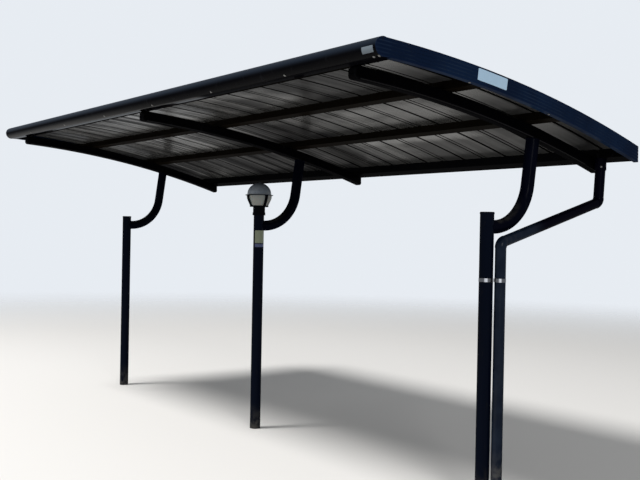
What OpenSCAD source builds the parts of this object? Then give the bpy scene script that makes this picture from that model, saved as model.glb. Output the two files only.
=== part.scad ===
// Cantilevered bike shelter: three round posts, bent tube arms, curved rafters
// and a ribbed metal roof that drains to a gutter and downpipe at the back.
// X runs along the shelter, Y from the front edge to the gutter, Z up.
// The origin is the middle of the foot of the middle post.

/* [Posts and arms] */
// Distance between neighbouring posts
post_pitch = 2235; // [2150:5:2235]
// Outside diameter of a post
post_d = 76.3; // [70:0.1:80]
// Height of a post from the ground to the top of its cap
post_h = 1573; // [1540:1:1600]
// Outside diameter of the bent arm
arm_d = 75; // [60:0.5:75.5]
// Height of the arm where it leaves the post
arm_z = 1493; // [1480:1:1500]
// Straight stretch of the arm from the middle of the post
arm_reach = 49; // [45:1:70]
// Radius of the arm's bend on its centre line
arm_bend_r = 280; // [250:1:300]
// Lean of the top of the arm towards the back, in degrees
arm_lean = 8; // [4:0.5:12]

/* [Roof curve] */
// Radius of the underside of the rafters
rafter_r = 7900; // [7500:10:8500]
// Place of the top of that curve, in front of the posts
crest_y = -1390; // [-1450:5:-1350]
// Height of the rafters' underside straight above the posts
rafter_z = 2064; // [2050:1:2080]
// Half of the length of the roof
roof_half = 2506; // [2480:1:2550]
// Width of a rafter
rafter_w = 60; // [50:1:60]
// Depth of a rafter
rafter_depth = 68; // [66:1:72]
// Height of the purlins, which stand on the rafters
purlin_h = 44; // [40:1:46]
// Width of a purlin
purlin_w = 65; // [40:1:70]
// Middle of the front purlin
purlin_front_y = -338; // [-380:1:-300]
// Middle of the rear purlin
purlin_rear_y = 285; // [250:1:320]

/* [Roof panels] */
// Distance from one panel joint to the next
panel_pitch = 370; // [360:1:372]
// Width of the open joint between two panels
joint_w = 46; // [42:1:52]
// Height of the seam over a joint above the underside of the panels
joint_h = 28; // [22:1:32]
// Width of the rail in the middle of a joint
joint_rail_w = 26; // [20:1:32]
// Height of the stiffening rib in the middle of a panel
rib_h = 13; // [8:1:16]
// Width of that rib
rib_w = 22; // [14:1:28]

/* [Edges] */
// Height of the rounded front beam
front_beam_h = 94; // [90:1:96]
// Middle of the beam's rounded nose
nose_y = -1000; // [-1010:1:-990]
// Height of the middle of the nose
nose_z = 2283; // [2281:1:2285]
// Back face of the front beam
front_beam_back = -952; // [-955:1:-950]
// Width of the gable's top flange
gable_w = 45; // [38:1:50]
// Rear end of the gables and the gutter
rear_y = 977; // [970:1:985]
// Front face of the gutter
gutter_front_y = 880; // [870:1:890]

/* [Downpipe] */
// Outside diameter of the downpipe
pipe_d = 60; // [55:1:60]
// Place of the pipe along the shelter
pipe_x = 2300; // [2300:1:2305]
// Place of the outlet under the gutter
drop_y = 905; // [900:1:915]
// Lean of the drop under the outlet towards the front, in degrees
drop_lean = 4.5; // [0:0.5:6]
// Place of the long pipe beside the post
fall_y = 40; // [38:1:46]
// Height of the upper elbow's corner
elbow_top_z = 1656; // [1600:1:1680]
// Height of the lower elbow's corner
elbow_low_z = 1408; // [1390:1:1420]

/* [Lamp] */
// Diameter of the dome on the lamp
lamp_d = 178; // [160:1:184]
// Height of the lamp's brim above the ground
lamp_brim_z = 1714; // [1705:1:1725]

/* [Hidden] */

// Fine steps on the roof's long curves and common ones on small rounds
long_fn = 1440;
round_fn = 64;

roof_black = "#1b1c20";
sheet_silver = "#a9aaa6";
pipe_grey = "#2b2e38";

arc_z = rafter_z - sqrt(pow(rafter_r, 2) - pow(crest_y, 2));
frame_low = 62;
frame_high = 150;
sheet_low = rafter_depth + purlin_h;
sheet_t = 1.5;
web_t = 3;
nose_r = front_beam_h / 2;
panel_count = 14;
first_joint_x = roof_half + 4;

gutter_front_z = roof_z(frame_low, gutter_front_y);
gutter_rear_z = 1897;
gutter_top_z = roof_z(frame_high, rear_y) - 8;
gutter_t = 2.5;

cap_len = 28;
cap_corner_r = 24;
rafter_front_y = front_beam_back - 6 + cap_len;
rafter_rear_y = 949 - cap_len;
bracket_t = 4;
beam_seat_z = roof_z(rafter_depth, front_beam_back) + bracket_t;
skirt_z = nose_z - nose_r + 1;
skirt_y = front_beam_back - 8.5;

cap_t = 12;
outlet_z = 1847;
corner_y = drop_y - (outlet_z - elbow_top_z) * tan(drop_lean);
slope_angle = atan2(elbow_top_z - elbow_low_z, corner_y - fall_y);
elbow_r = 36;
elbow_d = pipe_d + 3;
low_turn = 90 - slope_angle;
top_turn = low_turn - drop_lean;
fall_end_z = 60;
clamp_z = 1205;
clamp_h = 20;
band_t = 1.5;

lamp_post_h = 1568;
socket_h = 62;
lamp_base_z = lamp_post_h + socket_h;
lamp_base_t = 8;
lamp_base_r = 69;
brim_r = 102;
brim_t = 4;
glass_r = 93;
glass_foot_r = 66;
rib_t = 7;

// Height of a level of the roof above a place Y
function roof_z(level, y) = arc_z + sqrt(pow(rafter_r + level, 2) - pow(y - crest_y, 2));

// Angle on the roof's curve at which a level passes a place Y
function roof_angle(level, y) = asin((y - crest_y) / (rafter_r + level));

// How far a bend of a given turn reaches from its corner along either pipe
function bend_leg(turn) = elbow_r * tan(turn / 2);

// Turns an outline drawn in Y and Z into a bar along X
module bar_along_x(x0, x1) {
    translate([x0, 0, 0])
        rotate([90, 0, 90])
            linear_extrude(x1 - x0)
                children();
}

// Sweeps a section drawn in level and X along the roof's curve
module sweep_roof(angle_front, angle_rear) {
    translate([0, crest_y, arc_z])
        rotate([0, 90, 0])
            rotate([0, 0, 180 - angle_rear])
                rotate_extrude(angle = angle_rear - angle_front, $fn = long_fn)
                    translate([rafter_r, 0])
                        children();
}

module post(x, top) {
    color(roof_black)
        translate([x, 0, 0])
            cylinder(d = post_d, h = top, $fn = round_fn);
}

// Flat caps on the two outer posts, with a lip and a bevelled edge
module post_caps() {
    lip = 1.6;
    bevel = 3;
    color(roof_black)
        for (x = [-post_pitch, post_pitch])
            translate([x, 0, post_h - cap_t])
                union() {
                    cylinder(d = post_d + 2 * lip, h = cap_t - bevel, $fn = round_fn);
                    translate([0, 0, cap_t - bevel])
                        cylinder(d1 = post_d + 2 * lip, d2 = post_d - 4, h = bevel, $fn = round_fn);
                }
}

// Puts a round of the arm's bend at its end, pointing along the tube
module at_bend_end(turn, back) {
    translate([0, arm_reach, arm_z + arm_bend_r])
        rotate([turn, 0, 0])
            translate([0, -back, -arm_bend_r])
                rotate([-90, 0, 0])
                    children();
}

module arm(x) {
    turn = 90 - arm_lean;
    weld_w = 4;
    weld_d = arm_d + 0.6;
    straight = rafter_z - arm_z;
    color(roof_black)
        translate([x, 0, 0])
            intersection() {
                difference() {
                    union() {
                        translate([0, arm_reach, arm_z])
                            rotate([90, 0, 0])
                                cylinder(d = arm_d, h = arm_reach, $fn = round_fn);
                        translate([0, arm_reach, arm_z + arm_bend_r])
                            rotate([0, 90, 0])
                                rotate_extrude(angle = turn, $fn = 180)
                                    translate([arm_bend_r, 0])
                                        circle(d = arm_d, $fn = round_fn);
                        at_bend_end(turn, weld_w / 2)
                            cylinder(d = weld_d, h = weld_w, $fn = round_fn);
                        at_bend_end(turn, 0)
                            cylinder(d = arm_d, h = straight, $fn = round_fn);
                    }
                    cylinder(d = post_d, h = post_h, $fn = round_fn);
                }
                bar_along_x(-post_d, post_d)
                    translate([crest_y, arc_z])
                        circle(r = rafter_r, $fn = long_fn);
            }
}

// Rounded box section of the rafter with shallow grooves along its underside
module rafter_section() {
    corner = 10;
    groove = 3;
    difference() {
        union() {
            translate([corner, -rafter_w / 2])
                square([rafter_depth - 2 * corner, rafter_w]);
            translate([0, corner - rafter_w / 2])
                square([rafter_depth, rafter_w - 2 * corner]);
            for (level = [corner, rafter_depth - corner], side = [-1, 1])
                translate([level, side * (rafter_w / 2 - corner)])
                    circle(r = corner, $fn = 32);
        }
        for (side = [-1, 1])
            translate([-1, side * 12 - groove / 2])
                square([1 + groove / 2, groove]);
    }
}

// The rafter is sawn square at both ends and notched where the gutter rests on it
module rafter(x) {
    notch_gap = 0.3;
    a_front = roof_angle(0, rafter_front_y);
    a_rear = roof_angle(0, rafter_rear_y);
    a_notch = roof_angle(frame_low, gutter_front_y - notch_gap);
    color(roof_black)
        translate([x, 0, 0])
            difference() {
                sweep_roof(a_front, a_rear)
                    rafter_section();
                sweep_roof(a_notch, a_rear + 1)
                    translate([frame_low - notch_gap, -rafter_w])
                        square([rafter_depth, 2 * rafter_w]);
            }
}

// Part of the rafter's section from its underside up to a given depth
module cap_section(depth) {
    intersection() {
        rafter_section();
        translate([-1, -rafter_w])
            square([depth + 1, 2 * rafter_w]);
    }
}

// What is cut away beyond a cap's upright face and round its lower corner;
// way is 1 where the rafter lies behind the face and -1 where it lies in front
module cap_end_cut(face_y, low_z, way) {
    spare = 80;
    mid_y = face_y + way * (cap_corner_r - 1);
    mid_z = low_z + cap_corner_r - 2;
    bar_along_x(-rafter_w, rafter_w)
        mirror([way > 0 ? 0 : 1, 0])
            difference() {
                translate([way * face_y - spare, low_z - spare])
                    square([spare + cap_corner_r - 1, 2 * spare + rafter_depth]);
                translate([way * mid_y, mid_z])
                    circle(r = cap_corner_r, $fn = 96);
                translate([way * face_y, mid_z])
                    square([cap_corner_r, 2 * spare + rafter_depth]);
            }
}

// Moulded caps that close the rafters at the front, stepped back at the top
module rafter_front_caps() {
    step = 8;
    low_depth = 54;
    tip_y = rafter_front_y - cap_len;
    color(roof_black)
        for (x = [-post_pitch, 0, post_pitch])
            translate([x, 0, 0])
                difference() {
                    sweep_roof(roof_angle(0, tip_y - cap_len), roof_angle(0, rafter_front_y))
                        cap_section(rafter_depth);
                    sweep_roof(roof_angle(0, tip_y - 2 * cap_len), roof_angle(0, tip_y + step))
                        translate([low_depth, -rafter_w])
                            square([rafter_depth, 2 * rafter_w]);
                    cap_end_cut(tip_y, roof_z(0, tip_y), 1);
                }
}

// Caps that close them at the back, under the gutter
module rafter_rear_caps() {
    tip_y = rafter_rear_y + cap_len;
    color(roof_black)
        for (x = [-post_pitch, 0, post_pitch])
            translate([x, 0, 0])
                difference() {
                    sweep_roof(roof_angle(0, rafter_rear_y), roof_angle(0, tip_y + cap_len))
                        cap_section(frame_low - 0.3);
                    cap_end_cut(tip_y, roof_z(0, tip_y), -1);
                }
}

// Angle plates on the rafters' heads that the front beam is bolted to
module front_brackets() {
    plate_len = 230;
    plate_front_y = front_beam_back - 7;
    plate_w = 44;
    color(roof_black)
        for (x = [-post_pitch, 0, post_pitch])
            translate([x - rafter_w / 2, plate_front_y, beam_seat_z - bracket_t])
                cube([plate_len + rafter_w / 2, plate_w, bracket_t]);
}

module purlin(y) {
    a = roof_angle(rafter_depth, y);
    half_turn = asin(purlin_w / 2 / rafter_r);
    color(roof_black)
        sweep_roof(a - half_turn, a + half_turn)
            translate([rafter_depth, web_t - roof_half])
                square([purlin_h, 2 * (roof_half - web_t)]);
}

// Round nose of the front beam with the flat skirt under it
module nose_outline() {
    translate([nose_y, nose_z])
        circle(r = nose_r, $fn = 96);
    translate([nose_y, skirt_z])
        square([skirt_y - nose_y, nose_r]);
}

// Behind the nose the beam sits on the angle plates, its top level with the gables
module front_beam() {
    color(roof_black)
        bar_along_x(web_t - roof_half, roof_half - web_t)
            union() {
                nose_outline();
                polygon([
                    [nose_y, beam_seat_z],
                    [front_beam_back, beam_seat_z],
                    [front_beam_back, roof_z(frame_high, front_beam_back)],
                    [nose_y, nose_z + nose_r - 1]
                ]);
            }
}

// Open trough: front wall up to the roof panels, sloping floor, rear wall with a lip
module gutter_section() {
    lip = 12;
    front_top = roof_z(sheet_low, gutter_front_y + gutter_t);
    polygon([
        [gutter_front_y, gutter_front_z],
        [rear_y, gutter_rear_z],
        [rear_y, gutter_top_z],
        [rear_y - lip, gutter_top_z],
        [rear_y - lip, gutter_top_z - gutter_t],
        [rear_y - gutter_t, gutter_top_z - gutter_t],
        [rear_y - gutter_t, gutter_rear_z + gutter_t],
        [gutter_front_y + gutter_t, gutter_front_z + gutter_t],
        [gutter_front_y + gutter_t, front_top],
        [gutter_front_y, front_top]
    ]);
}

module rear_gutter() {
    color(roof_black)
        difference() {
            bar_along_x(web_t - roof_half, roof_half - web_t)
                gutter_section();
            translate([pipe_x, drop_y, outlet_z])
                cylinder(d = pipe_d - 8, h = gutter_top_z - outlet_z, $fn = round_fn);
        }
}

// Room the gutter takes inside the gable
module gutter_room() {
    polygon([
        [gutter_front_y, gutter_front_z],
        [rear_y, gutter_rear_z],
        [rear_y, gutter_top_z],
        [gutter_front_y, gutter_top_z]
    ]);
}

// Side channel: grooved outer web, flanges turned in, lower lip
module gable_section() {
    tall = frame_high - frame_low;
    lip_w = 30;
    groove_w = 4;
    groove_d = 1.2;
    difference() {
        union() {
            translate([frame_low, roof_half - web_t])
                square([tall, web_t]);
            translate([frame_high - web_t, roof_half - gable_w])
                square([web_t, gable_w]);
            translate([frame_low, roof_half - lip_w])
                square([web_t, lip_w]);
        }
        for (k = [1:4])
            translate([frame_low + k * tall / 5 - groove_w / 2, roof_half - groove_d])
                square([groove_w, groove_d + 1]);
    }
}

module gable() {
    color(roof_black)
        union() {
            difference() {
                intersection() {
                    sweep_roof(roof_angle(0, front_beam_back - 60), roof_angle(0, rear_y + 30))
                        gable_section();
                    bar_along_x(roof_half - gable_w, roof_half)
                        translate([nose_y, gutter_rear_z - nose_r])
                            square([rear_y - nose_y, nose_z]);
                }
                bar_along_x(0, roof_half - web_t)
                    translate([nose_y - 1, gutter_rear_z])
                        square([front_beam_back - nose_y + 1, nose_z]);
                bar_along_x(roof_half - gable_w - 1, roof_half - web_t)
                    gutter_room();
            }
            bar_along_x(roof_half - web_t, roof_half)
                nose_outline();
        }
}

// Flat of a roof panel from x0 to x1 with its edges turned up as walls
module panel_section(x0, x1, wall0, wall1) {
    translate([0, x0])
        square([sheet_t, x1 - x0]);
    translate([0, x0])
        square([wall0, sheet_t]);
    translate([0, x1 - sheet_t])
        square([wall1, sheet_t]);
}

// Cover over the open joint at x with the rail that hangs in its middle
module joint_section(x) {
    rail_low = 0.5;
    cover_w = joint_w + 2 * sheet_t;
    translate([joint_h - sheet_t, x - cover_w / 2])
        square([sheet_t, cover_w]);
    translate([rail_low, x - joint_rail_w / 2])
        square([joint_h - rail_low, joint_rail_w]);
}

// A panel carries the joint on its left; each full one has a hollow rib
// folded up along its middle, open towards the ground
module roof_panel(k) {
    edge_wall = 4;
    first = k == 1;
    last = k == panel_count;
    right = first ? roof_half - web_t : first_joint_x - (k - 1) * panel_pitch - joint_w / 2;
    left_joint = first_joint_x - k * panel_pitch;
    left = last ? web_t - roof_half : left_joint + joint_w / 2;
    rib_x = left_joint + panel_pitch / 2;
    a0 = roof_angle(sheet_low, front_beam_back);
    a1 = roof_angle(sheet_low, gutter_front_y + 50);
    color(sheet_silver)
        sweep_roof(a0, a1)
            translate([sheet_low, 0])
                difference() {
                    union() {
                        panel_section(
                            left, right,
                            last ? edge_wall : joint_h,
                            first ? edge_wall : joint_h - sheet_t
                        );
                        if (!last) {
                            joint_section(left_joint);
                            translate([0, rib_x - rib_w / 2])
                                square([rib_h, rib_w]);
                        }
                    }
                    if (!last)
                        translate([-1, rib_x - rib_w / 2 + sheet_t])
                            square([rib_h - sheet_t + 1, rib_w - 2 * sheet_t]);
                }
}

// Collar under the gutter, cut to the slope of its floor
module gutter_outlet() {
    collar_d = pipe_d + 9;
    color(pipe_grey)
        difference() {
            translate([pipe_x, drop_y, outlet_z])
                cylinder(d = collar_d, h = gutter_front_z - outlet_z, $fn = round_fn);
            bar_along_x(pipe_x - collar_d, pipe_x + collar_d)
                polygon([
                    [gutter_front_y, gutter_front_z],
                    [rear_y, gutter_rear_z],
                    [rear_y, gutter_front_z + 1],
                    [gutter_front_y, gutter_front_z + 1]
                ]);
        }
}

// Short pipe from the upper elbow to the outlet, cut level at its top
module downpipe_drop() {
    color(pipe_grey)
        difference() {
            translate([pipe_x, corner_y, elbow_top_z])
                rotate([-drop_lean, 0, 0])
                    translate([0, 0, bend_leg(top_turn)])
                        cylinder(d = pipe_d, h = outlet_z - elbow_top_z, $fn = round_fn);
            translate([pipe_x - pipe_d, drop_y - pipe_d, outlet_z])
                cube(2 * pipe_d);
        }
}

// Bend in the plane of Y and Z round the corner of two pipes; at no tilt
// one pipe rises from the corner and the other goes down to the front
module elbow(y, z, turn, tilt) {
    color(pipe_grey)
        translate([pipe_x, y, z])
            rotate([tilt, 0, 0])
                translate([0, -elbow_r, bend_leg(turn)])
                    rotate([0, 90, 0])
                        rotate([0, 0, 90 - turn])
                            rotate_extrude(angle = turn, $fn = 180)
                                translate([elbow_r, 0])
                                    circle(d = elbow_d, $fn = round_fn);
}

module downpipe_slope() {
    run = norm([corner_y - fall_y, elbow_top_z - elbow_low_z]);
    color(pipe_grey)
        translate([pipe_x, fall_y, elbow_low_z])
            rotate([slope_angle - 90, 0, 0])
                translate([0, 0, bend_leg(low_turn)])
                    cylinder(
                        d = pipe_d,
                        h = run - bend_leg(low_turn) - bend_leg(top_turn),
                        $fn = round_fn
                    );
}

module downpipe_fall() {
    color(pipe_grey)
        translate([pipe_x, fall_y, fall_end_z])
            cylinder(d = pipe_d, h = elbow_low_z - bend_leg(low_turn) - fall_end_z, $fn = round_fn);
}

// Two bands joined by a block that fills the gap between post and pipe
module pipe_clamp() {
    gap = norm([pipe_x - post_pitch, fall_y]) - (post_d + pipe_d) / 2;
    color("silver")
        translate([0, 0, clamp_z - clamp_h / 2])
            difference() {
                union() {
                    translate([post_pitch, 0, 0])
                        cylinder(d = post_d + 2 * band_t, h = clamp_h, $fn = round_fn);
                    translate([pipe_x, fall_y, 0])
                        cylinder(d = pipe_d + 2 * band_t, h = clamp_h, $fn = round_fn);
                    translate([post_pitch, 0, 0])
                        rotate([0, 0, atan2(fall_y, pipe_x - post_pitch)])
                            translate([post_d / 2 - 1, -6, 0])
                                cube([gap + 2, 12, clamp_h]);
                }
                translate([post_pitch, 0, -1])
                    cylinder(d = post_d, h = clamp_h + 2, $fn = round_fn);
                translate([pipe_x, fall_y, -1])
                    cylinder(d = pipe_d, h = clamp_h + 2, $fn = round_fn);
            }
}

// Sleeve on top of the middle post, with a wider collar at its foot
module lamp_socket() {
    collar_h = 20;
    collar_d = 94;
    sleeve_d = 88;
    color(roof_black)
        translate([0, 0, lamp_post_h])
            union() {
                cylinder(d = collar_d, h = collar_h, $fn = round_fn);
                cylinder(d = sleeve_d, h = socket_h, $fn = round_fn);
            }
}

// Outline of the lamp's bowl, a round belly on a cone, grown all round.
// Height 0 is the brim and foot is how far the outline goes down.
module bowl_outline(grow, foot) {
    belly_turn = 29;
    steps = 6;
    floor_h = lamp_base_z + lamp_base_t - lamp_brim_z;
    r = glass_r + grow;
    polygon(concat(
        [[0, 0]],
        [for (k = [0:steps]) r * [cos(k * belly_turn / steps), -sin(k * belly_turn / steps)]],
        [[glass_foot_r + grow, floor_h], [glass_foot_r + grow, -foot], [0, -foot]]
    ));
}

// Cast cage of the lamp: base plate, four curved ribs and the brim they carry
module lamp_cage() {
    bar_w = 20;
    gap = 1.5;
    brim_inner_r = 78;
    base_h = lamp_brim_z - lamp_base_z;
    color(roof_black)
        translate([0, 0, lamp_brim_z])
            union() {
                translate([0, 0, -base_h])
                    cylinder(r = lamp_base_r, h = lamp_base_t, $fn = round_fn);
                difference() {
                    cylinder(r = brim_r, h = brim_t, $fn = round_fn);
                    translate([0, 0, -1])
                        cylinder(r = brim_inner_r, h = brim_t + 2, $fn = round_fn);
                }
                intersection() {
                    rotate_extrude($fn = round_fn)
                        difference() {
                            bowl_outline(gap + rib_t, base_h);
                            bowl_outline(gap, base_h - lamp_base_t);
                        }
                    for (turn = [0, 90])
                        rotate([0, 0, turn])
                            translate([-brim_r, -bar_w / 2, -base_h])
                                cube([2 * brim_r, bar_w, base_h]);
                }
            }
}

// Milky bowl inside the ribs
module lamp_glass() {
    color("#d8d4c4")
        translate([0, 0, lamp_brim_z])
            rotate_extrude($fn = round_fn)
                bowl_outline(0, lamp_brim_z - lamp_base_z - lamp_base_t);
}

module lamp_dome() {
    color("#5b6470")
        translate([0, 0, lamp_brim_z + brim_t])
            rotate_extrude($fn = round_fn)
                intersection() {
                    circle(d = lamp_d, $fn = round_fn);
                    square(lamp_d);
                }
}

post(-post_pitch, post_h - cap_t);  // post_left
post(0, lamp_post_h);  // post_middle
post(post_pitch, post_h - cap_t);  // post_right
post_caps();
arm(-post_pitch);  // arm_left
arm(0);  // arm_middle
arm(post_pitch);  // arm_right
rafter(-post_pitch);  // rafter_left
rafter(0);  // rafter_middle
rafter(post_pitch);  // rafter_right
rafter_front_caps();
rafter_rear_caps();
front_brackets();
purlin(purlin_front_y);  // purlin_front
purlin(purlin_rear_y);  // purlin_rear
front_beam();
rear_gutter();
mirror([1, 0, 0]) gable();  // gable_left
gable();  // gable_right
roof_panel(1);  // roof_panel_1
roof_panel(2);  // roof_panel_2
roof_panel(3);  // roof_panel_3
roof_panel(4);  // roof_panel_4
roof_panel(5);  // roof_panel_5
roof_panel(6);  // roof_panel_6
roof_panel(7);  // roof_panel_7
roof_panel(8);  // roof_panel_8
roof_panel(9);  // roof_panel_9
roof_panel(10);  // roof_panel_10
roof_panel(11);  // roof_panel_11
roof_panel(12);  // roof_panel_12
roof_panel(13);  // roof_panel_13
roof_panel(14);  // roof_panel_14
gutter_outlet();
downpipe_drop();
elbow(corner_y, elbow_top_z, top_turn, -drop_lean);  // downpipe_elbow_top
downpipe_slope();
elbow(fall_y, elbow_low_z, low_turn, 180);  // downpipe_elbow_low
downpipe_fall();
pipe_clamp();
lamp_socket();
lamp_cage();
lamp_glass();
lamp_dome();
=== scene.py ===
import math

import bpy
from mathutils import Matrix, Vector


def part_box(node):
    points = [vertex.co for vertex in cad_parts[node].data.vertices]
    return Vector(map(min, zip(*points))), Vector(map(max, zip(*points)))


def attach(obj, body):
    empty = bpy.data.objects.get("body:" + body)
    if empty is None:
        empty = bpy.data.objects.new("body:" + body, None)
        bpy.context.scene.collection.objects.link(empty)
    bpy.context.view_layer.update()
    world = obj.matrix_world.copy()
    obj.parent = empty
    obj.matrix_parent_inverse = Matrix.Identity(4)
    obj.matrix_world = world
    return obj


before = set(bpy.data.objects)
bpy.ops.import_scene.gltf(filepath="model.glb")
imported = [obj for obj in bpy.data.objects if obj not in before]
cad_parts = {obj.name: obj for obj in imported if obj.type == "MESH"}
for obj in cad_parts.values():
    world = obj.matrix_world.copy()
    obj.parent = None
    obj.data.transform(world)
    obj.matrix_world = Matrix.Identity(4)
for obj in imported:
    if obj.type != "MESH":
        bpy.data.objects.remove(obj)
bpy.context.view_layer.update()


# Three round posts of steel tube with a baked black coat. The two outer ones are
# closed by flat moulded caps and the middle one carries the lamp. They run
# straight into the ground, and the middle one has a small blank sticker.
POST_R = 0.03815
POST_BLACK = (0.0010, 0.0024, 0.0076, 1)
COAT_RUBBED = (0.0075, 0.0080, 0.0100, 1)
DUST = (0.150, 0.140, 0.120, 1)
SPLASHED_TO_Z = 0.26
FILM_T = 0.0003
STICKER_Z = 1.395
STICKER_H = 0.122
STICKER_CORNER = 0.004
STICKER_TURN = math.radians(352)
STICKER_SPREAD = math.radians(138)
STICKER_PALE = (0.195, 0.222, 0.150, 1)
STICKER_BLUE = (0.045, 0.060, 0.150, 1)
STICKER_LINE = (0.006, 0.008, 0.022, 1)
STICKER_LINE_HALF = 0.00425
STICKER_BLUE_BELOW_Z = 1.360


class Shade:
    """A shader socket that sums can be written with and other nodes added from."""

    def __init__(self, socket):
        self.socket = socket

    def node(self, kind, settings, sockets, outlet=0):
        tree = self.socket.id_data
        added = tree.nodes.new(kind)
        for name, value in settings.items():
            setattr(added, name, value)
        for name, value in sockets.items():
            if isinstance(value, Shade):
                tree.links.new(value.socket, added.inputs[name])
            else:
                added.inputs[name].default_value = value
        return Shade(added.outputs[outlet])

    def maths(self, operation, *values):
        return self.node("ShaderNodeMath", {"operation": operation}, dict(enumerate(values)))

    def vector(self, operation, *values, outlet=0):
        sockets = dict(enumerate((self, *values)))
        return self.node("ShaderNodeVectorMath", {"operation": operation}, sockets, outlet)

    def __add__(self, other):
        return self.maths("ADD", self, other)

    def __sub__(self, other):
        return self.maths("SUBTRACT", self, other)

    def __rsub__(self, other):
        return self.maths("SUBTRACT", other, self)

    def __mul__(self, other):
        return self.maths("MULTIPLY", self, other)

    __radd__ = __add__
    __rmul__ = __mul__

    def larger(self, other):
        return self.maths("MAXIMUM", self, other)

    def fraction(self):
        return self.maths("FRACT", self)

    def off_whole(self):
        """How far a number is from the nearest whole one."""
        return self.maths("ABSOLUTE", self - self.maths("ROUND", self))

    def axis(self, which):
        return self.node("ShaderNodeSeparateXYZ", {}, {0: self}, outlet=which)

    def length(self):
        return self.vector("LENGTH", outlet=1)

    def stretched(self, x, y, z):
        return self.vector("MULTIPLY", (x, y, z))

    def cloud(self, scale, detail):
        """Soft noise over a place."""
        sockets = {"Vector": self, "Scale": scale, "Detail": detail}
        return self.node("ShaderNodeTexNoise", {}, sockets)

    def ramp(self, start, end):
        """Zero up to the start, one from the end on."""
        return self.node(
            "ShaderNodeMapRange",
            {"interpolation_type": "SMOOTHSTEP"},
            {"Value": self, "From Min": start, "From Max": end},
        )

    def past(self, edge, soft):
        """Zero before the edge and one past it."""
        return self.ramp(edge - soft, edge + soft)

    def between(self, start, end, soft):
        """One from the start to the end and zero outside them."""
        return self.past(start, soft) - self.past(end, soft)

    def tint(self, low, high):
        """A colour that goes from low to high as this number goes from zero to one."""
        return self.node(
            "ShaderNodeMix", {"data_type": "RGBA"}, {0: self, 6: low, 7: high}, outlet=2
        )

    def bumps(self, strength, depth):
        sockets = {"Height": self, "Strength": strength, "Distance": depth}
        return self.node("ShaderNodeBump", {}, sockets)


class Finish:
    """A new material: its shader, the place in the frame and the way a face looks."""

    def __init__(self, name):
        self.material = bpy.data.materials.new(name)
        self.material.use_nodes = True
        tree = self.material.node_tree
        self.shader = tree.nodes["Principled BSDF"]
        self.place = Shade(tree.nodes.new("ShaderNodeTexCoord").outputs["Object"])
        self.facing = Shade(tree.nodes.new("ShaderNodeNewGeometry").outputs["Normal"])

    def fixed(self, **values):
        for name, value in values.items():
            self.shader.inputs[name.replace("_", " ")].default_value = value

    def varied(self, **links):
        for name, shade in links.items():
            inlet = self.shader.inputs[name.replace("_", " ")]
            self.material.node_tree.links.new(shade.socket, inlet)

    def laid_over(self, amount, colour):
        present = Shade(self.shader.inputs["Base Color"].links[0].from_socket)
        self.varied(Base_Color=amount.tint(present, colour))


def black_coat(name, tone, roughness=0.24, sheen=0.05, ground=False):
    """Baked coat with faint orange peel, duller patches, rub marks and settled dust."""
    coat = Finish(name)
    peel = coat.place.cloud(420, 2)
    patch = coat.place.cloud(3.5, 5).ramp(0.35, 0.70)
    rubbed = coat.place.stretched(1, 1, 0.4).cloud(34, 6).ramp(0.60, 0.78)
    settled = coat.place.cloud(24, 6).ramp(0.30, 0.72)
    dusty = coat.facing.axis(2).ramp(0.35, 1.0) * settled * 0.22
    if ground:
        low = 1 - coat.place.axis(2).ramp(0.0, SPLASHED_TO_Z)
        dusty = dusty + low * low * coat.place.cloud(22, 6).ramp(0.34, 0.68) * 0.34
    coat.varied(
        Base_Color=(dusty + patch * 0.006).tint((rubbed * 0.7).tint(tone, COAT_RUBBED), DUST),
        Roughness=roughness + patch * 0.10 + rubbed * 0.12 + dusty,
        Coat_Weight=(1 - patch * 0.3 - rubbed * 0.5) * sheen,
        Normal=(peel * 0.5 + patch * 0.5).bumps(0.14, 0.0004),
    )
    coat.fixed(Specular_IOR_Level=0.0, Coat_Roughness=roughness * 0.6)
    return coat


def film(name, colour, specular, below=None, edge_z=0.0):
    """Blank film of one colour, or with another one below a height."""
    paper = Finish(name)
    fade = paper.place.cloud(60, 4)
    if below:
        colour = paper.place.axis(2).past(edge_z, 0.0006).tint(below, colour)
    paper.varied(
        Base_Color=(fade * 0.16).tint(colour, DUST),
        Roughness=0.34 + fade * 0.16,
        Normal=paper.place.cloud(260, 2).bumps(0.12, 0.0003),
    )
    paper.fixed(Specular_IOR_Level=specular)
    return paper


def dress(finish, *nodes):
    """Puts a finish on nodes of the frame."""
    for node in nodes:
        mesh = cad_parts[node].data
        mesh.materials.clear()
        mesh.materials.append(finish.material)


def fitted(name, part, finish, crease=40):
    """Makes a piece from its corners and faces and lets it stand on the frame."""
    corners, faces = part
    mesh = bpy.data.meshes.new(name)
    mesh.from_pydata([tuple(corner) for corner in corners], [], faces)
    mesh.materials.append(finish.material)
    mesh.shade_smooth()
    mesh.set_sharp_from_angle(angle=math.radians(crease))
    piece = bpy.data.objects.new(name, mesh)
    bpy.context.scene.collection.objects.link(piece)
    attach(piece, "root")


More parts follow.
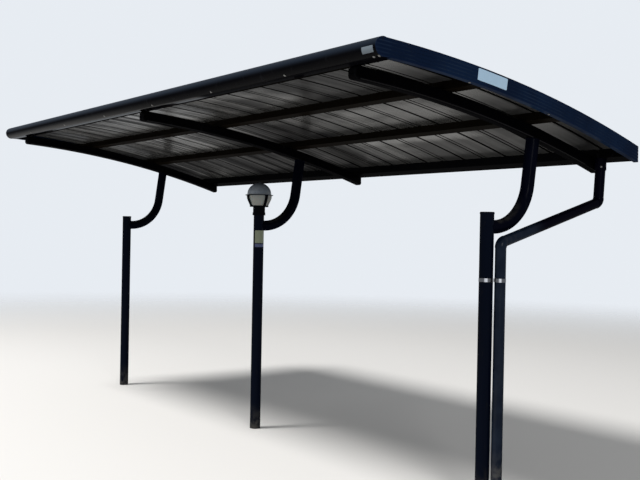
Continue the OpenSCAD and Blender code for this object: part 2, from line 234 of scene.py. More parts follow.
def sticker(half_u, half_v, corner, laid):
    """A thin film with round corners. laid turns (u, v, height) into a place."""
    arc_steps = 8
    edge_steps = 12
    rings = 8
    outline = []
    for cu, cv, first in ((1, 1, 0), (-1, 1, 90), (-1, -1, 180), (1, -1, 270)):
        mid_u = cu * (half_u - corner)
        mid_v = cv * (half_v - corner)
        for k in range(arc_steps + 1):
            turn = math.radians(first + 90 * k / arc_steps)
            outline.append((mid_u + corner * math.cos(turn), mid_v + corner * math.sin(turn)))
        here = outline[-1]
        turn = math.radians(first + 90)
        goal = (
            -cv * (half_u - corner) + corner * math.cos(turn),
            cu * (half_v - corner) + corner * math.sin(turn),
        )
        for k in range(1, edge_steps):
            share = k / edge_steps
            outline.append(tuple(a + share * (b - a) for a, b in zip(here, goal)))
    count = len(outline)
    corners = [laid(u, v, 0) for u, v in outline]
    for ring in range(rings):
        share = 1 - ring / rings
        corners += [laid(u * share, v * share, FILM_T) for u, v in outline]
    corners.append(laid(0, 0, FILM_T))
    faces = []
    for a in range(0, rings * count, count):
        for k in range(count):
            nxt = (k + 1) % count
            faces.append([a + k, a + nxt, a + count + nxt, a + count + k])
    inner = rings * count
    middle = len(corners) - 1
    faces += [[inner + k, inner + (k + 1) % count, middle] for k in range(count)]
    return corners, faces


def round_the_post(u, v, height):
    turn = STICKER_TURN + u / POST_R
    reach = POST_R + height
    return Vector((reach * math.cos(turn), reach * math.sin(turn), STICKER_Z + v))


post_coat = black_coat("post_coat", POST_BLACK, ground=True)
dress(post_coat, "post_left", "post_middle", "post_right", "post_caps")

post_film = film("post_film", STICKER_PALE, 0.3, STICKER_BLUE, STICKER_BLUE_BELOW_Z)
dark_line = post_film.place.axis(2).between(
    STICKER_BLUE_BELOW_Z - STICKER_LINE_HALF, STICKER_BLUE_BELOW_Z + STICKER_LINE_HALF, 0.00025
)
post_film.laid_over(dark_line, STICKER_LINE)
fitted(
    "post_sticker",
    sticker(POST_R * STICKER_SPREAD / 2, STICKER_H / 2, STICKER_CORNER, round_the_post),
    post_film,
)


# Bent tube arms from the posts to the rafters, of the same coated steel. Each is
# welded to its post with a bead that follows the saddle, and closed against the
# rafter's underside with another.
POST_PITCH = 2.235
POSTS_X = (-POST_PITCH, 0, POST_PITCH)
ARM_BLACK = (0.0009, 0.0014, 0.0052, 1)
ARM_R = 0.0375
ARM_Z = 1.493
ARM_BEND_R = 0.280
ARM_REACH = 0.049
ARM_RISE_ABOUT = 0.25
ARM_LEAN = math.radians(8)
RAFTER_R = 7.900
RAFTER_Z = 2.064
CREST_Y = -1.390
ARC_Z = RAFTER_Z - math.sqrt(RAFTER_R**2 - CREST_Y**2)
BEAD_R = 0.0028
BEAD_POINTS = 144
BEAD_SIDES = 8
BEAD_RIPPLES = 36
BEAD_SWELL = 0.13


def roof_z(level, y):
    """Height of a level of the roof above a place along Y."""
    return ARC_Z + math.sqrt((RAFTER_R + level) ** 2 - (y - CREST_Y) ** 2)


def joined(parts):
    """Puts the corners and faces of many small parts into one."""
    corners = []
    faces = []
    for more_corners, more_faces in parts:
        start = len(corners)
        corners += more_corners
        faces += [[start + k for k in face] for face in more_faces]
    return corners, faces


def weld_bead(path):
    """A closed bead laid along a loop of points, with the ripples of the weld."""
    corners = []
    faces = []
    count = len(path)
    middle = sum(path, Vector()) / count
    for k, point in enumerate(path):
        ahead = (path[(k + 1) % count] - path[k - 1]).normalized()
        out = (point - middle).cross(ahead).normalized()
        side = ahead.cross(out)
        radius = BEAD_R * (1 + BEAD_SWELL * math.sin(BEAD_RIPPLES * math.tau * k / count))
        for j in range(BEAD_SIDES):
            turn = math.tau * j / BEAD_SIDES
            corners.append(point + radius * (math.cos(turn) * out + math.sin(turn) * side))
    for k in range(count):
        here = k * BEAD_SIDES
        there = (k + 1) % count * BEAD_SIDES
        for j in range(BEAD_SIDES):
            nxt = (j + 1) % BEAD_SIDES
            faces.append([here + j, here + nxt, there + nxt, there + j])
    return corners, faces


def saddle(x):
    """The line on which the arm meets the round post."""
    line = []
    for k in range(BEAD_POINTS):
        turn = math.tau * k / BEAD_POINTS
        across = ARM_R * math.cos(turn)
        back = math.sqrt(POST_R**2 - across**2)
        line.append(Vector((x + across, back, ARM_Z + ARM_R * math.sin(turn))))
    return line


def arm_top(x):
    """The line on which the leaning end of the arm meets the rafter, found in a few steps."""
    way = Vector((0, math.sin(ARM_LEAN), math.cos(ARM_LEAN)))
    side = Vector((0, math.cos(ARM_LEAN), -math.sin(ARM_LEAN)))
    start = Vector((x, ARM_REACH + ARM_BEND_R * way.z, ARM_Z + ARM_BEND_R * (1 - way.y)))
    line = []
    for k in range(BEAD_POINTS):
        turn = math.tau * k / BEAD_POINTS
        foot = start + ARM_R * (math.cos(turn) * Vector((1, 0, 0)) + math.sin(turn) * side)
        rise = ARM_RISE_ABOUT
        for _ in range(6):
            here = foot + rise * way
            rise += (roof_z(0, here.y) - here.z) / way.z
        line.append(foot + rise * way)
    return line


arm_coat = black_coat("arm_coat", ARM_BLACK, sheen=0.02)
dress(arm_coat, "arm_left", "arm_middle", "arm_right")
beads = []
for x in POSTS_X:
    beads += [weld_bead(saddle(x)), weld_bead(arm_top(x))]
fitted("arm_welds", joined(beads), arm_coat)


# Curved rafters of coated aluminium box section, closed at both ends by moulded
# caps. An angle plate on each head carries the front beam and is held by two
# hexagon bolts with washers.
RAFTER_BLACK = (0.0010, 0.0010, 0.0016, 1)
CAP_BLACK = (0.0010, 0.0010, 0.0014, 1)
BOLTS_FROM_RAFTER = (0.060, 0.160)
BOLTS_Y = -0.940
BOLT_R = 0.0085
BOLT_TOP = 0.0078
BOLT_CHAMFER = (0.0012, 0.0008)
BOLT_SINK = 0.0002
WASHER_R = 0.0105
WASHER_T = 0.0018
WASHER_CHAMFER = 0.0004


def turned(profile, place, axis, around=24):
    """Turns a profile of (radius, height) about an axis through a place."""
    tilt = Vector(axis).to_track_quat("Z", "Y").to_matrix()
    corners = []
    faces = []
    for radius, height in profile:
        for k in range(around):
            turn = math.tau * k / around
            spot = Vector((radius * math.cos(turn), radius * math.sin(turn), height))
            corners.append(Vector(place) + tilt @ spot)
    last = (len(profile) - 1) * around
    for a in range(0, last, around):
        for k in range(around):
            nxt = (k + 1) % around
            faces.append([a + k, a + nxt, a + around + nxt, a + around + k])
    faces.append(list(reversed(range(around))))
    faces.append([last + k for k in range(around)])
    return corners, faces


def hex_bolt(place, axis):
    """A bolt head with chamfered corners on its washer."""
    washer = [
        (WASHER_R, 0),
        (WASHER_R, WASHER_T - WASHER_CHAMFER),
        (WASHER_R - WASHER_CHAMFER, WASHER_T),
        (BOLT_R, WASHER_T),
    ]
    head = [
        (BOLT_R, WASHER_T - BOLT_SINK),
        (BOLT_R, BOLT_TOP - BOLT_CHAMFER[1]),
        (BOLT_R - BOLT_CHAMFER[0], BOLT_TOP),
    ]
    return joined([turned(washer, place, axis), turned(head, place, axis, around=6)])


rafter_coat = black_coat("rafter_coat", RAFTER_BLACK, sheen=0.02)
upward = rafter_coat.facing.axis(2)
lower_corners = upward.ramp(-0.93, -0.80) - upward.ramp(-0.55, -0.35)
rafter_coat.varied(Coat_Weight=lower_corners * 0.30 + 0.015)
dress(rafter_coat, "rafter_left", "rafter_middle", "rafter_right", "front_brackets")
cap_plastic = black_coat("cap_plastic", CAP_BLACK, roughness=0.36, sheen=0.02)
dress(cap_plastic, "rafter_front_caps", "rafter_rear_caps")

plates_under_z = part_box("front_brackets")[0].z
bolts = []
for x in POSTS_X:
    for along in BOLTS_FROM_RAFTER:
        bolts.append(hex_bolt((x + along, BOLTS_Y, plates_under_z), (0, 0, -1)))
fitted("bracket_bolts", joined(bolts), rafter_coat, crease=30)


# Two purlins of coated box section. They lie across the rafters, under the panels,
# and run from one side channel to the other.
PURLIN_BLACK = (0.0042, 0.0032, 0.0022, 1)

purlin_coat = black_coat("purlin_coat", PURLIN_BLACK, roughness=0.40, sheen=0.03)
dress(purlin_coat, "purlin_front", "purlin_rear")


# Front beam: an extruded coated profile with a round nose, glossy on the outside,
# and a flat skirt under it. Plated screws hold it at every second roof joint and
# at its right corner, and a blank sticker is on its right end.
BEAM_BLACK = (0.0014, 0.0014, 0.0022, 1)
BEAM_SKY_REFLECTION = (0.0042, 0.0085, 0.0165, 1)
NOSE_R = 0.047
NOSE_Y = -1.000
NOSE_Z = 2.283
NOSE_GLOSS_FADES_X = (-1.6, 0.8)
SKIRT_GLOSS_FADES_X = (0.78, 0.92)
STEEL = (0.17, 0.17, 0.165, 1)
STEEL_DULL = (0.12, 0.11, 0.10, 1)
SCREW_R = 0.0058
SCREW_SINK = 0.0003
SCREW_RECESS = 0.0016
NOSE_SCREWS = [(1.770 - 0.740 * k, math.radians(237)) for k in range(6)]
CORNER_SCREWS = [(2.461, math.radians(248)), (2.497, math.radians(248))]
NOSE_STICKER_X = (2.406, 2.484)
NOSE_STICKER_TURN = (math.radians(176), math.radians(215))
NOSE_STICKER_CORNER = 0.003
NOSE_STICKER_GREY = (0.13, 0.16, 0.19, 1)


def pan_screw(place, axis, radius=SCREW_R):
    """A domed screw head on a flange, with a cross recess."""
    around = 24
    head = [
        (radius * 1.25, 0),
        (radius * 1.25, 0.0008),
        (radius, 0.0012),
        (radius * 0.94, 0.0026),
        (radius * 0.74, 0.0036),
        (radius * 0.50, 0.0041),
        (radius * 0.26, 0.0041),
        (radius * 0.06, 0.0041),
    ]
    corners, faces = turned(head, place, axis, around)
    inward = Vector(axis).normalized() * SCREW_RECESS
    inmost = len(corners) - around
    next_ring = inmost - around
    cross_ends = [next_ring + k for k in range(0, around, around // 4)]
    for k in cross_ends + list(range(inmost, len(corners))):
        corners[k] = corners[k] - inward
    return corners, faces


def round_the_nose(u, v, height):
    turn = sum(NOSE_STICKER_TURN) / 2 - v / NOSE_R
    reach = NOSE_R + height
    return Vector((
        sum(NOSE_STICKER_X) / 2 + u,
        NOSE_Y + reach * math.cos(turn),
        NOSE_Z + reach * math.sin(turn),
    ))


beam_coat = black_coat("beam_coat", BEAM_BLACK, roughness=0.10)
along = beam_coat.place.axis(0)
upward = beam_coat.facing.axis(2)
top_curve = upward.ramp(-0.20, 0.45)
skirt = 1 - upward.ramp(-0.98, -0.90)
under_curve = (1 - upward.ramp(-0.85, -0.10)) * (1 - skirt)
shine = top_curve * 0.13 + skirt * (1 - along.ramp(*SKIRT_GLOSS_FADES_X)) * 0.26
shine = shine + under_curve * ((1 - along.ramp(*NOSE_GLOSS_FADES_X)) * 0.24 + 0.05)
# Painted sky reflection: the top of the nose is painted a lighter blue
beam_coat.laid_over(top_curve, BEAM_SKY_REFLECTION)
beam_coat.varied(Coat_Weight=shine + 0.02)
dress(beam_coat, "front_beam")

plated_steel = Finish("fixing_steel")
worn = plated_steel.place.cloud(160, 5).ramp(0.42, 0.70)
plated_steel.varied(
    Base_Color=worn.tint(STEEL, STEEL_DULL),
    Roughness=0.28 + worn * 0.30,
    Metallic=0.95 - worn * 0.35,
    Normal=plated_steel.place.cloud(900, 2).bumps(0.10, 0.0002),
)
nose_screws = []
for x, turn in NOSE_SCREWS + CORNER_SCREWS:
    way = Vector((0, math.cos(turn), math.sin(turn)))
    seat = Vector((x, NOSE_Y, NOSE_Z)) + (NOSE_R - SCREW_SINK) * way
    nose_screws.append(pan_screw(seat, way))
fitted("nose_screws", joined(nose_screws), plated_steel)

nose_film = film("nose_film", NOSE_STICKER_GREY, 0.15)
fitted(
    "nose_sticker",
    sticker(
        (NOSE_STICKER_X[1] - NOSE_STICKER_X[0]) / 2,
        NOSE_R * (NOSE_STICKER_TURN[1] - NOSE_STICKER_TURN[0]) / 2,
        NOSE_STICKER_CORNER,
        round_the_nose,
    ),
    nose_film,
)


# Narrow flange of folded and coated metal at the back of the front beam. It lies on
# the rafters' angle plates, and its rear edge is folded down to a lip.
FLANGE_BLACK = (0.0036, 0.0030, 0.0026, 1)
FLANGE_FRONT = -0.9518
FLANGE_BACK = -0.9125
FLANGE_Z = 2.2474
FLANGE_T = 0.0015
FLANGE_LIP = 0.0040
FLANGE_HALF = 2.5025
FLANGE_STEPS = 120


def flange_strip():
    """The folded strip, cut in short lengths along the beam."""
    inside = FLANGE_BACK - FLANGE_T
    outline = [
        (FLANGE_FRONT, FLANGE_Z + FLANGE_T),
        (FLANGE_FRONT, FLANGE_Z),
        (inside, FLANGE_Z),
        (inside, FLANGE_Z - FLANGE_LIP),
        (FLANGE_BACK, FLANGE_Z - FLANGE_LIP),
        (FLANGE_BACK, FLANGE_Z + FLANGE_T),
    ]
    count = len(outline)
    corners = []
    for step in range(FLANGE_STEPS + 1):
        x = FLANGE_HALF * (2 * step / FLANGE_STEPS - 1)
        corners += [Vector((x, y, z)) for y, z in outline]
    last = FLANGE_STEPS * count
    faces = []
    for a in range(0, last, count):
        for k in range(count):
            nxt = (k + 1) % count
            faces.append([a + k, a + count + k, a + count + nxt, a + nxt])
    faces += [[0, 1, 2, 5], [2, 3, 4, 5]]
    faces += [[last + 5, last + 2, last + 1, last], [last + 5, last + 4, last + 3, last + 2]]
    return corners, faces


flange_coat = black_coat("flange_coat", FLANGE_BLACK, roughness=0.40, sheen=0.02)
fitted("beam_flange", flange_strip(), flange_coat, crease=30)


# Side channels of coated aluminium with four shallow grooves along the outer face.
# Each has two plated screws in its lower lip, a little in front of the purlins, and
# the right one has a blank sticker high on the curve.
GABLE_BLACK_AND_SKY_BLUE = (0.0016, 0.0066, 0.0230, 1)
GABLE_BLEACHED = (0.0040, 0.0150, 0.0450, 1)
GABLE_GROOVE = (0.0160, 0.0300, 0.0600, 1)
GABLE_X = 2.506
GABLE_LOW = 0.062
GABLE_H = 0.088
GABLE_BANDS = 5
GABLE_SCREWS_Y = (-0.426, 0.180)
GABLE_SCREWS_INSET = 0.016
GABLE_STICKER_Y = (-0.397, -0.187)
GABLE_STICKER_LEVEL = (0.083, 0.142)
GABLE_STICKER_CORNER = 0.004
GABLE_STICKER_BLUE = (0.39, 0.56, 0.72, 1)


def on_the_gable(u, v, height):
    level = sum(GABLE_STICKER_LEVEL) / 2 + v
    turn = math.asin((sum(GABLE_STICKER_Y) / 2 + u - CREST_Y) / RAFTER_R)
    reach = RAFTER_R + level
    return Vector((
        GABLE_X + height,
        CREST_Y + reach * math.sin(turn),
        ARC_Z + reach * math.cos(turn),
    ))


# The coat's tone is black with a painted blue sky reflection in it
gable_coat = black_coat("gable_coat", GABLE_BLACK_AND_SKY_BLUE, roughness=0.22, sheen=0.06)
spoke = gable_coat.place.vector("SUBTRACT", (0, CREST_Y, ARC_Z)).stretched(0, 1, 1)
bands_up = (spoke.length() - RAFTER_R - GABLE_LOW) * (GABLE_BANDS / GABLE_H)
groove = 1 - bands_up.off_whole().ramp(0.08, 0.24)
bleached = gable_coat.place.stretched(1, 1.6, 1.6).cloud(1.0, 4).ramp(0.46, 0.62)
patchy = gable_coat.place.cloud(5, 4).ramp(0.30, 0.65)
gable_coat.laid_over(bleached * 0.55, GABLE_BLEACHED)
gable_coat.laid_over(groove * patchy * 0.55, GABLE_GROOVE)
dress(gable_coat, "gable_left", "gable_right")

gable_film = film("gable_film", GABLE_STICKER_BLUE, 0.35)
fitted(
    "gable_sticker",
    sticker(
        (GABLE_STICKER_Y[1] - GABLE_STICKER_Y[0]) / 2,
        (GABLE_STICKER_LEVEL[1] - GABLE_STICKER_LEVEL[0]) / 2,
        GABLE_STICKER_CORNER,
        on_the_gable,
    ),
    gable_film,
)

gable_screws = []
for side in (-1, 1):
    for y in GABLE_SCREWS_Y:
        lip_z = roof_z(GABLE_LOW, y)
        down = Vector((0, CREST_Y - y, ARC_Z - lip_z)).normalized()
        gable_screws.append(pan_screw((side * (GABLE_X - GABLE_SCREWS_INSET), y, lip_z), down))
fitted("gable_screws", joined(gable_screws), plated_steel)


# Fourteen roof panels of coated steel sheet, rolled to the curve, with a low rib in
# the middle and an open joint with a rail on the left. The silver underside is
# glossy, with streaks along the roll, painted reflections and painted shade in the
# folds, and the upper side is dusty from the weather.
PANEL_SILVER = (0.092, 0.091, 0.088, 1)
PANEL_DARK = (0.014, 0.014, 0.015, 1)
PANEL_WEATHERED = (0.300, 0.300, 0.290, 1)
FOLD_SHADE = (0.0040, 0.0038, 0.0036, 1)
PANEL_COUNT = 14
FIRST_JOINT_X = 2.510
PANEL_PITCH = 0.370
JOINT_SIDES_TO = 0.02375
JOINT_GAP = (0.0115, 0.0255)
RIB_SIDES_FROM = 0.17475
RIB_GAP_FROM = 0.1725
FRONT_BAY_Y = -0.930
PURLIN_PITCH = 0.623
OVER_FRONT_PURLIN_Y = (-0.37, -0.30)
OVER_REAR_PURLIN_Y = (0.25, 0.32)
OVER_LEFT_RAFTER_X = (-2.27, -2.20)
STREAKS_FADE_X = (-0.4, 1.3)
END_LIGHT_X = (1.90, 2.15)
END_LIGHT_WEAK_Y = (0.20, 0.50)

# Painted reflections: stretches painted lighter or darker than the rest of their bay,
# as if they mirrored other surroundings: start and end along the shelter, softness
# of the ends, and by how much
FRONT_BAY_GLEAMS = [(-0.95, 0.42, 0.22, 0.42), (0.05, 0.42, 0.15, 0.26)]
MIDDLE_BAY_GLEAMS = [(-2.20, -0.65, 0.20, 0.34), (0.38, 0.98, 0.12, -0.20)]
REAR_BAY_GLEAMS = [(0.00, 2.02, 0.22, 0.28), (-1.62, -0.42, 0.20, -0.26)]


def gleams(along, stretches):
    """Adds up the two stretches of one bay."""
    one, other = [along.between(start, end, soft) * much for start, end, soft, much in stretches]
    return one + other


sheet = Finish("panel_sheet")
along = sheet.place.axis(0)
back = sheet.place.axis(1)
along_roll = sheet.place.stretched(26, 0.9, 0.9).cloud(1.0, 4)
each_panel = sheet.place.stretched(5.4, 0.7, 0.7).cloud(1.0, 3)
whole_roof = sheet.place.stretched(0.8, 1.3, 1.3).cloud(1.0, 3)
slow_wave = sheet.place.stretched(4.5, 1.1, 1.1).cloud(1.0, 2)
topside = sheet.facing.axis(2).ramp(0.2, 0.8)
weathered = sheet.place.stretched(14, 3, 3).cloud(1.0, 6).ramp(0.38, 0.70)
grime = topside * (weathered * 0.6 + topside * 0.15)

# Painted shade in the folds: on the upright faces of joints and ribs and in their gaps
off_joint = ((along - FIRST_JOINT_X) * (1 / PANEL_PITCH)).off_whole() * PANEL_PITCH
in_fold = 1 - off_joint.past(JOINT_SIDES_TO, 0.0001) + off_joint.past(RIB_SIDES_FROM, 0.0001)
sideways = sheet.facing.axis(0)
upright = (sideways * sideways).ramp(0.3, 0.7) * in_fold
in_gap = off_joint.between(*JOINT_GAP, 0.0010) + off_joint.past(RIB_GAP_FROM, 0.0010)
fold_shade = upright.larger(in_gap * (1 - topside) * 0.90)

# Streaks and painted reflections of the underside, from zero for the dark tone to one for the
# silver
toward_right = along.ramp(*STREAKS_FADE_X)
streaks_and_reflections = along_roll.ramp(0.44, 0.58) * 0.35 + each_panel.ramp(0.46, 0.58) * 0.35
streaks_and_reflections = streaks_and_reflections * (1 - toward_right * 0.75)
streaks_and_reflections = streaks_and_reflections + whole_roof.ramp(0.46, 0.60) * (toward_right * 0.40 + 0.30)
streaks_and_reflections = streaks_and_reflections + toward_right * 0.20
front_bay = 1 - back.ramp(*OVER_FRONT_PURLIN_Y)
rear_bay = back.ramp(*OVER_REAR_PURLIN_Y)
lift = gleams(along, FRONT_BAY_GLEAMS) * front_bay
lift = lift + gleams(along, MIDDLE_BAY_GLEAMS) * (1 - front_bay - rear_bay)
lift = lift + gleams(along, REAR_BAY_GLEAMS) * rear_bay
streaks_and_reflections = (streaks_and_reflections * (1 + lift) + lift * 0.60).larger(0.0)
# Painted darker reflection beyond the left rafter, towards the side channel
streaks_and_reflections = streaks_and_reflections * (along.ramp(*OVER_LEFT_RAFTER_X) * 0.35 + 0.65)
# Painted reflection at the right end: light at the front of each bay, fading towards its back
into_bay = ((back - FRONT_BAY_Y) * (1 / PURLIN_PITCH)).fraction()
end_light = along.ramp(*END_LIGHT_X) * (1 - into_bay.ramp(0.10, 0.68))
end_light = end_light * (1 - back.ramp(*END_LIGHT_WEAK_Y) * 0.4)
streaks_and_reflections = streaks_and_reflections * (streaks_and_reflections * 0.6 + 0.6) * (1 - end_light) + end_light * 1.05

silver = topside.tint(streaks_and_reflections.tint(PANEL_DARK, PANEL_SILVER), PANEL_WEATHERED)
sheet.varied(
    Base_Color=fold_shade.tint((grime * 0.8).tint(silver, DUST), FOLD_SHADE),
    Roughness=0.17 + each_panel * 0.16 + topside * 0.14 + grime * 0.40 + fold_shade * 0.4,
    Metallic=(0.08 + streaks_and_reflections * 0.54 + topside * 0.30) * (1 - grime) * (1 - fold_shade),
    Normal=slow_wave.bumps(0.40, 0.0060),
)
sheet.fixed(Specular_IOR_Level=0.0)
dress(sheet, *[f"roof_panel_{k + 1}" for k in range(PANEL_COUNT)])


# Rear gutter: a folded and coated trough, open at the top, that closes the back
# edge of the roof and takes its rain.
GUTTER_BLACK = (0.0012, 0.0012, 0.0016, 1)

gutter_coat = black_coat("gutter_coat", GUTTER_BLACK, roughness=0.40, sheen=0.02)
dress(gutter_coat, "rear_gutter")


# Downpipe of charcoal plastic with two solvent-welded bends. It hangs from an outlet
# under the gutter, held by one screw, and runs down beside the right post. Its upper
# part, close under the roof, has the roof's shadow painted on it.
PIPE_GREY = (0.0042, 0.0080, 0.0175, 1)
PIPE_FADED = (0.0085, 0.0140, 0.0265, 1)
PIPE_ROOF_SHADOW = (0.0010, 0.0008, 0.0038, 1)
PIPE_ROOF_SHADOW_Y = (0.22, 0.40)
PIPE_SPLASHED_Z = (0.05, 0.32)
PIPE_X = 2.300
DROP_Y = 0.905
OUTLET_R = 0.0345
OUTLET_SCREW_Z = 1.866
OUTLET_SCREW_R = 0.0048
OUTLET_SCREW_SINK = 0.0004
OUTLET_SCREW_TURN = math.radians(314)

pipe = Finish("pipe_plastic_finish")
faded = pipe.place.cloud(12, 5).ramp(0.35, 0.70)
splash = 1 - pipe.place.axis(2).ramp(*PIPE_SPLASHED_Z)
splash = splash * pipe.place.cloud(24, 6).ramp(0.32, 0.66)
wiped = pipe.place.stretched(30, 30, 2).cloud(1.0, 4).ramp(0.50, 0.74)
# Painted shadow of the roof: the upper part of the pipe is painted darker, with less coat
roof_shadow = pipe.place.axis(1).ramp(*PIPE_ROOF_SHADOW_Y)
charcoal_and_shadow = roof_shadow.tint(faded.tint(PIPE_GREY, PIPE_FADED), PIPE_ROOF_SHADOW)
drawn_rings = pipe.place.stretched(6, 6, 60).cloud(2, 2)
pipe.varied(
    Base_Color=(splash * 0.55 + wiped * (1 - roof_shadow) * 0.05).tint(charcoal_and_shadow, DUST),
    Coat_Weight=0.10 - roof_shadow * 0.08,
    Roughness=0.30 + faded * 0.12 + splash * 0.35,
    Normal=(drawn_rings * 0.5 + pipe.place.cloud(500, 2) * 0.3).bumps(0.12, 0.0004),
)
pipe.fixed(Specular_IOR_Level=0.004, Coat_Roughness=0.22)
dress(
    pipe,
    "gutter_outlet",
    "downpipe_drop",
    "downpipe_elbow_top",
    "downpipe_slope",
    "downpipe_elbow_low",
    "downpipe_fall",
)

outward = Vector((math.cos(OUTLET_SCREW_TURN), math.sin(OUTLET_SCREW_TURN), 0))
seat = Vector((PIPE_X, DROP_Y, OUTLET_SCREW_Z)) + (OUTLET_R - OUTLET_SCREW_SINK) * outward
outlet_screw = pan_screw(seat, outward, OUTLET_SCREW_R)
fitted("outlet_screw", outlet_screw, plated_steel)


# Stainless clamp that holds the pipe beside the post: two bands bent from one
# strip, pulled together by a screw and nut between them.
CLAMP_GREY = (0.105, 0.108, 0.118, 1)
CLAMP_HIGHLIGHT = (0.62, 0.63, 0.66, 1)
CLAMP_TEA = (0.10, 0.08, 0.06, 1)
SUNNY_SIDE = (0.672, -0.740, 0.0)

clamp = Finish("clamp_strip")
grain = clamp.place.stretched(40, 40, 900).cloud(1.0, 3)
tea = clamp.place.cloud(120, 5).ramp(0.55, 0.78)
# Painted highlight: band faces that point to the sunny side are painted bright
painted_highlight = clamp.facing.vector("DOT_PRODUCT", SUNNY_SIDE, outlet=1).ramp(0.955, 0.998)
clamp.varied(
    Base_Color=(tea * 0.4).tint(painted_highlight.tint(CLAMP_GREY, CLAMP_HIGHLIGHT), CLAMP_TEA),
    Roughness=0.22 + grain * 0.14 + tea * 0.20,
    Metallic=1.0 - tea * 0.3,
    Normal=grain.bumps(0.20, 0.0003),
)
dress(clamp, "pipe_clamp")


# Post lamp: a black socket and cast cage, a milky bowl inside the ribs, and a
# blue grey dome that sits on the brim.
LAMP_BLACK = (0.0010, 0.0014, 0.0030, 1)
BOWL_MILK = (0.225, 0.235, 0.222, 1)
BOWL_STAIN = (0.19, 0.17, 0.13, 1)
BOWL_LIMED_Z = (1.640, 1.700)
DOME_BLUE = (0.205, 0.238, 0.282, 1)
DOME_CHALK = (0.265, 0.292, 0.325, 1)

lamp_coat = black_coat("lamp_coat", LAMP_BLACK, roughness=0.34, sheen=0.04)
dress(lamp_coat, "lamp_socket", "lamp_cage")

bowl = Finish("milky_bowl")
stain = bowl.place.cloud(26, 5).ramp(0.45, 0.80)
lime = (1 - bowl.place.axis(2).ramp(*BOWL_LIMED_Z)) * stain
bowl.varied(
    Base_Color=(stain * 0.18 + lime * 0.3).tint(BOWL_MILK, BOWL_STAIN),
    Roughness=0.30 + stain * 0.22,
    Normal=bowl.place.cloud(180, 2).bumps(0.10, 0.0004),
)
bowl.fixed(Specular_IOR_Level=0.4, Subsurface_Weight=0.15, Subsurface_Scale=0.01)
dress(bowl, "lamp_glass")

dome = Finish("dome_plastic")
chalky = dome.place.cloud(18, 6).ramp(0.38, 0.75)
fallen = dome.facing.axis(2).ramp(0.55, 1.0) * dome.place.cloud(70, 4).ramp(0.35, 0.75)
dome.varied(
    Base_Color=(fallen * 0.35).tint(chalky.tint(DOME_BLUE, DOME_CHALK), DUST),
    Roughness=0.26 + chalky * 0.16 + fallen * 0.25,
    Normal=dome.place.cloud(300, 2).bumps(0.10, 0.0003),
)
dress(dome, "lamp_dome")


# Stand of the picture: a pale floor that fades into a pale room, soft light from
# the front and above, and a camera where the photograph was taken from.
FLOOR_PALE = (0.76, 0.74, 0.71, 1)
FLOOR_R = 40.0
FLOOR_SIDES = 96
FLOOR_Z = -0.001
FLOOR_FADES = (6.0, 16.0)
ROOM_PALE = (0.80, 0.84, 0.89, 1)
ROOM_STRENGTH = 0.30
EYE = Vector((5.5671, -3.6698, 1.4302))
YAW = 0.9199
PITCH = -0.0054
ROLL = 0.019
FOCAL_PIXELS = 902.0
PICTURE_PIXELS = 640.0


def studio_floor():
    """A round floor that lets the room show towards its rim."""
    corners = [(0.0, 0.0, FLOOR_Z)]
    for k in range(FLOOR_SIDES):
        turn = math.tau * k / FLOOR_SIDES
        corners.append((FLOOR_R * math.cos(turn), FLOOR_R * math.sin(turn), FLOOR_Z))
    faces = [[0, 1 + k, 1 + (k + 1) % FLOOR_SIDES] for k in range(FLOOR_SIDES)]
    mesh = bpy.data.meshes.new("floor")
    mesh.from_pydata(corners, [], faces)
    floor = bpy.data.objects.new("floor", mesh)
    bpy.context.scene.collection.objects.link(floor)
    paint = Finish("floor_paint")
    tree = paint.material.node_tree
    clear = tree.nodes.new("ShaderNodeBsdfTransparent")
    both = tree.nodes.new("ShaderNodeMixShader")
    tree.links.new(paint.place.length().ramp(*FLOOR_FADES).socket, both.inputs[0])
    tree.links.new(paint.shader.outputs[0], both.inputs[1])
    tree.links.new(clear.outputs[0], both.inputs[2])
    tree.links.new(both.outputs[0], tree.nodes["Material Output"].inputs["Surface"])
    paint.fixed(Base_Color=FLOOR_PALE, Roughness=0.9, Specular_IOR_Level=0.1)
    mesh.materials.append(paint.material)


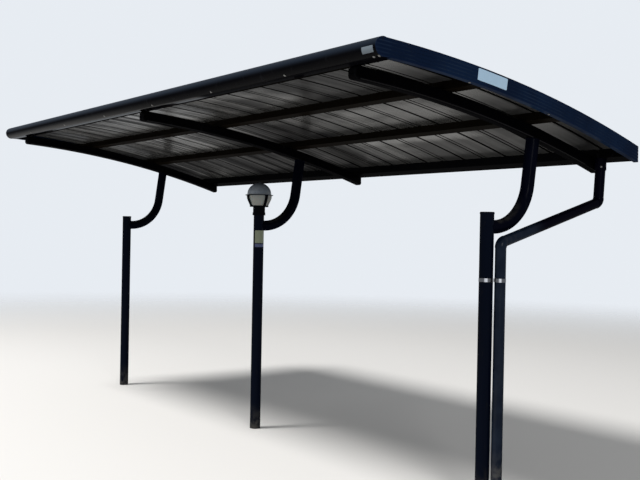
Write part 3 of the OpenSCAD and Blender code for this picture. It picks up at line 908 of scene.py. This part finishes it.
def room_light():
    """A room that is brighter to the camera and in mirrors than as a light."""
    world = bpy.data.worlds.new("room")
    bpy.context.scene.world = world
    world.use_nodes = True
    tree = world.node_tree
    back = tree.nodes["Background"]
    back.inputs["Color"].default_value = ROOM_PALE
    ray = tree.nodes.new("ShaderNodeLightPath")
    seen = Shade(ray.outputs["Is Camera Ray"]).larger(Shade(ray.outputs["Is Glossy Ray"]))
    seen = seen.larger(Shade(ray.outputs["Is Transmission Ray"]))
    strength = seen * (1 - ROOM_STRENGTH) + ROOM_STRENGTH
    tree.links.new(strength.socket, back.inputs["Strength"])


def soft_light(name, place, aim, size, power):
    """A round area light that points from its place at the aim."""
    light = bpy.data.lights.new(name, "AREA")
    light.shape = "DISK"
    light.size = size
    light.energy = power
    lamp = bpy.data.objects.new(name, light)
    lamp.location = place
    lamp.rotation_euler = (Vector(aim) - Vector(place)).to_track_quat("-Z", "Y").to_euler()
    bpy.context.scene.collection.objects.link(lamp)


studio_floor()
room_light()
soft_light("sky_light", place=(-4.0, -9.0, 17.0), aim=(0, 0, 1.0), size=5.6, power=3900)
soft_light("side_light", place=(16.0, -6.0, 8.0), aim=(0, 0, 1.2), size=6.0, power=960)

camera = bpy.data.cameras.new("camera")
camera.sensor_fit = "HORIZONTAL"
camera.sensor_width = 36.0
camera.lens = FOCAL_PIXELS * camera.sensor_width / PICTURE_PIXELS
camera.clip_end = 200.0
view = bpy.data.objects.new("camera", camera)
bpy.context.scene.collection.objects.link(view)
flat = math.cos(PITCH)
ahead = Vector((-math.sin(YAW) * flat, math.cos(YAW) * flat, math.sin(PITCH)))
level_right = Vector((math.cos(YAW), math.sin(YAW), 0))
level_up = level_right.cross(ahead)
right = math.cos(ROLL) * level_right + math.sin(ROLL) * level_up
up = math.cos(ROLL) * level_up - math.sin(ROLL) * level_right
turned_view = Matrix((right, up, -ahead)).transposed().to_4x4()
view.matrix_world = Matrix.Translation(EYE) @ turned_view
bpy.context.scene.camera = view
bpy.context.scene.view_settings.view_transform = "Standard"
